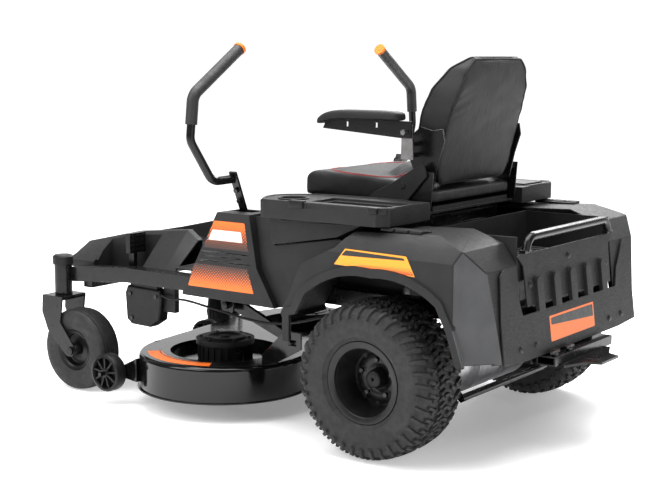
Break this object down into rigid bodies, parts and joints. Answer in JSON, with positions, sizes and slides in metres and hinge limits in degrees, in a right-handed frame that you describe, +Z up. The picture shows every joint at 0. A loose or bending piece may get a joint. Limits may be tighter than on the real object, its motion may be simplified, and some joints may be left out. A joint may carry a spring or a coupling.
{
  "type": "zero turn riding mower",
  "caption": "Battery zero turn riding mower with a side-discharge cutting deck, swivelling front casters, two lap bars, a high-backed seat and a rear cargo bed.",
  "frame": {"origin": "on the ground, under the middle of the whole machine's bounding box", "axes": "+X forwards, +Y to the operator's left, +Z up"},
  "size_m": [1.934, 1.3138, 1.1742],
  "materials": {
    "frame_black": "gloss black powder coat",
    "deck_black": "high gloss black paint",
    "body_charcoal": "fine grained charcoal plastic",
    "trim_black": "satin black plastic",
    "tyre": "matt rubber",
    "rim_black": "satin black paint",
    "grip_rubber": "ribbed soft grip",
    "mat_rubber": "ribbed grey rubber",
    "seat_vinyl": "grained black vinyl over foam",
    "motor_alloy": "cast and finned",
    "motor_black": "black coated",
    "blade_steel": "black painted steel with ground edges",
    "battery_case": "plain black case",
    "screw_zinc": "black zinc",
    "cable_black": "smooth jacket",
    "knob_orange": "orange",
    "key_black": "black",
    "alloy_inner": "black heat sink"
  },
  "bodies": {
    "root": {"main_frame": "frame_black", "caster_caps": "trim_black", "foot_platform": "body_charcoal", "seat_shroud": "trim_black", "side_covers": "body_charcoal", "fender_left": "body_charcoal", "fender_right": "body_charcoal", "console_left": "body_charcoal", "console_right": "body_charcoal", "control_panel": "trim_black", "cargo_bed": "body_charcoal", "bed_mat": "mat_rubber", "rear_bumper": "body_charcoal", "tailgate": "body_charcoal", "guard_bar": "frame_black", "hitch_plate": "frame_black", "cross_tube": "frame_black", "drive_motors": "motor_alloy", "battery_pack": "battery_case", "motor_controllers": "alloy_inner", "pedal_gearbox": "trim_black", "lift_cable": "cable_black", "body_screws": "screw_zinc"},
    "rear_wheel_left": {"rear_tyre_left": "tyre", "rear_rim_left": "rim_black"},
    "caster_left": {"caster_fork_left": "frame_black"},
    "caster_wheel_left": {"caster_tyre_left": "tyre", "caster_rim_left": "rim_black"},
    "lever_left": {"lever_base_left": "frame_black"},
    "lap_left": {"lap_bar_left": "frame_black", "lap_grip_left": "grip_rubber"},
    "rear_wheel_right": {"rear_tyre_right": "tyre", "rear_rim_right": "rim_black"},
    "caster_right": {"caster_fork_right": "frame_black"},
    "caster_wheel_right": {"caster_tyre_right": "tyre", "caster_rim_right": "rim_black"},
    "lever_right": {"lever_base_right": "frame_black"},
    "lap_right": {"lap_bar_right": "frame_black", "lap_grip_right": "grip_rubber"},
    "seat_base": {"seat_plate": "frame_black"},
    "seat": {"seat_pan": "trim_black", "seat_cushion": "seat_vinyl", "seat_back_frame": "frame_black", "seat_back_cushion": "seat_vinyl", "seat_shields": "body_charcoal"},
    "armrest_left": {"armrest_bracket_left": "frame_black", "armrest_pad_left": "seat_vinyl"},
    "armrest_right": {"armrest_bracket_right": "frame_black", "armrest_pad_right": "seat_vinyl"},
    "deck": {"deck_shell": "deck_black", "deck_motors": "motor_black"},
    "pedal": {"pedal": "frame_black"},
    "lift_arms": {"lift_arms": "frame_black"},
    "blade_left": {"blade_left": "blade_steel"},
    "blade_right": {"blade_right": "blade_steel"},
    "gauge_left": {"gauge_wheel_left": "trim_black"},
    "gauge_front": {"gauge_wheel_front": "trim_black"},
    "chute": {"chute": "trim_black"},
    "key": {"key_switch": "key_black"},
    "pto": {"pto_knob": "knob_orange"}
  },
  "joints": [
    {"name": "rear_wheel_left_spin", "type": "hinge", "parent": "root", "child": "rear_wheel_left", "pos_m": [-0.473, 0.5025, 0.2286], "axis": [0, 1, 0], "continuous": true},
    {"name": "caster_left_swivel", "type": "hinge", "parent": "root", "child": "caster_left", "pos_m": [0.867, 0.4635, 0.322], "axis": [0, 0, 1], "continuous": true},
    {"name": "caster_left_roll", "type": "hinge", "parent": "caster_left", "child": "caster_wheel_left", "pos_m": [0.78505, 0.46064, 0.1397], "axis": [-0.0349, 0.9994, 0], "continuous": true},
    {"name": "lever_left_drive", "type": "hinge", "parent": "root", "child": "lever_left", "pos_m": [0.073, 0.4235, 0.5], "axis": [0, 1, 0], "range_deg": [-7, 9]},
    {"name": "lap_left_swing", "type": "hinge", "parent": "lever_left", "child": "lap_left", "pos_m": [0.073, 0.4235, 0.612], "axis": [1, 0, 0], "range_deg": [0, 30]},
    {"name": "rear_wheel_right_spin", "type": "hinge", "parent": "root", "child": "rear_wheel_right", "pos_m": [-0.473, -0.4315, 0.2286], "axis": [0, 1, 0], "continuous": true},
    {"name": "caster_right_swivel", "type": "hinge", "parent": "root", "child": "caster_right", "pos_m": [0.867, -0.3925, 0.322], "axis": [0, 0, 1], "continuous": true},
    {"name": "caster_right_roll", "type": "hinge", "parent": "caster_right", "child": "caster_wheel_right", "pos_m": [0.82294, -0.32334, 0.1397], "axis": [0.8434, 0.5373, 0], "continuous": true},
    {"name": "lever_right_drive", "type": "hinge", "parent": "root", "child": "lever_right", "pos_m": [0.073, -0.3525, 0.5], "axis": [0, 1, 0], "range_deg": [-7, 9]},
    {"name": "lap_right_swing", "type": "hinge", "parent": "lever_right", "child": "lap_right", "pos_m": [0.073, -0.3525, 0.612], "axis": [-1, 0, 0], "range_deg": [0, 30]},
    {"name": "seat_tilt", "type": "hinge", "parent": "root", "child": "seat_base", "pos_m": [-0.043, 0.0355, 0.662], "axis": [0, 1, 0], "range_deg": [0, 50]},
    {"name": "seat_slide", "type": "slide", "parent": "seat_base", "child": "seat", "axis": [1, 0, 0], "range_m": [-0.05, 0.05]},
    {"name": "armrest_left_fold", "type": "hinge", "parent": "seat", "child": "armrest_left", "pos_m": [-0.441, 0.3355, 0.916], "axis": [0, -1, 0], "range_deg": [0, 80]},
    {"name": "armrest_right_fold", "type": "hinge", "parent": "seat", "child": "armrest_right", "pos_m": [-0.441, -0.2645, 0.916], "axis": [0, -1, 0], "range_deg": [0, 80]},
    {"name": "deck_lift", "type": "slide", "parent": "root", "child": "deck", "axis": [0, 0, 1], "range_m": [0, 0.05]},
    {"name": "pedal_press", "type": "hinge", "parent": "root", "child": "pedal", "pos_m": [0.527, 0.3455, 0.33], "axis": [0, 1, 0], "range_deg": [0, 18.1]},
    {"name": "lift_arms_turn", "type": "hinge", "parent": "root", "child": "lift_arms", "pos_m": [0.195, 0.0355, 0.345], "axis": [0, 1, 0], "range_deg": [0, 11.6]},
    {"name": "blade_left_spin", "type": "hinge", "parent": "deck", "child": "blade_left", "pos_m": [0.272, 0.3075, 0.088], "axis": [0, 0, 1], "continuous": true},
    {"name": "blade_right_spin", "type": "hinge", "parent": "deck", "child": "blade_right", "pos_m": [0.332, -0.2225, 0.088], "axis": [0, 0, 1], "continuous": true},
    {"name": "gauge_left_roll", "type": "hinge", "parent": "deck", "child": "gauge_left", "pos_m": [0.559, 0.5595, 0.106], "axis": [0, 1, 0], "continuous": true},
    {"name": "gauge_front_roll", "type": "hinge", "parent": "deck", "child": "gauge_front", "pos_m": [0.677, -0.0615, 0.106], "axis": [0, 1, 0], "continuous": true},
    {"name": "chute_flip", "type": "hinge", "parent": "deck", "child": "chute", "pos_m": [0.332, -0.5155, 0.16], "axis": [-1, 0, 0], "range_deg": [0, 75]},
    {"name": "key_turn", "type": "hinge", "parent": "root", "child": "key", "pos_m": [-0.271, -0.3745, 0.716], "axis": [0, 0, 1], "range_deg": [0, 90]},
    {"name": "pto_pull", "type": "slide", "parent": "root", "child": "pto", "axis": [0, 0, 1], "range_m": [0, 0.01]}
  ],
  "couplings": [
    {"joint": "pedal_press", "follows": "deck_lift", "rad_per_m": 6.28},
    {"joint": "lift_arms_turn", "follows": "deck_lift", "rad_per_m": 3.98}
  ]
}
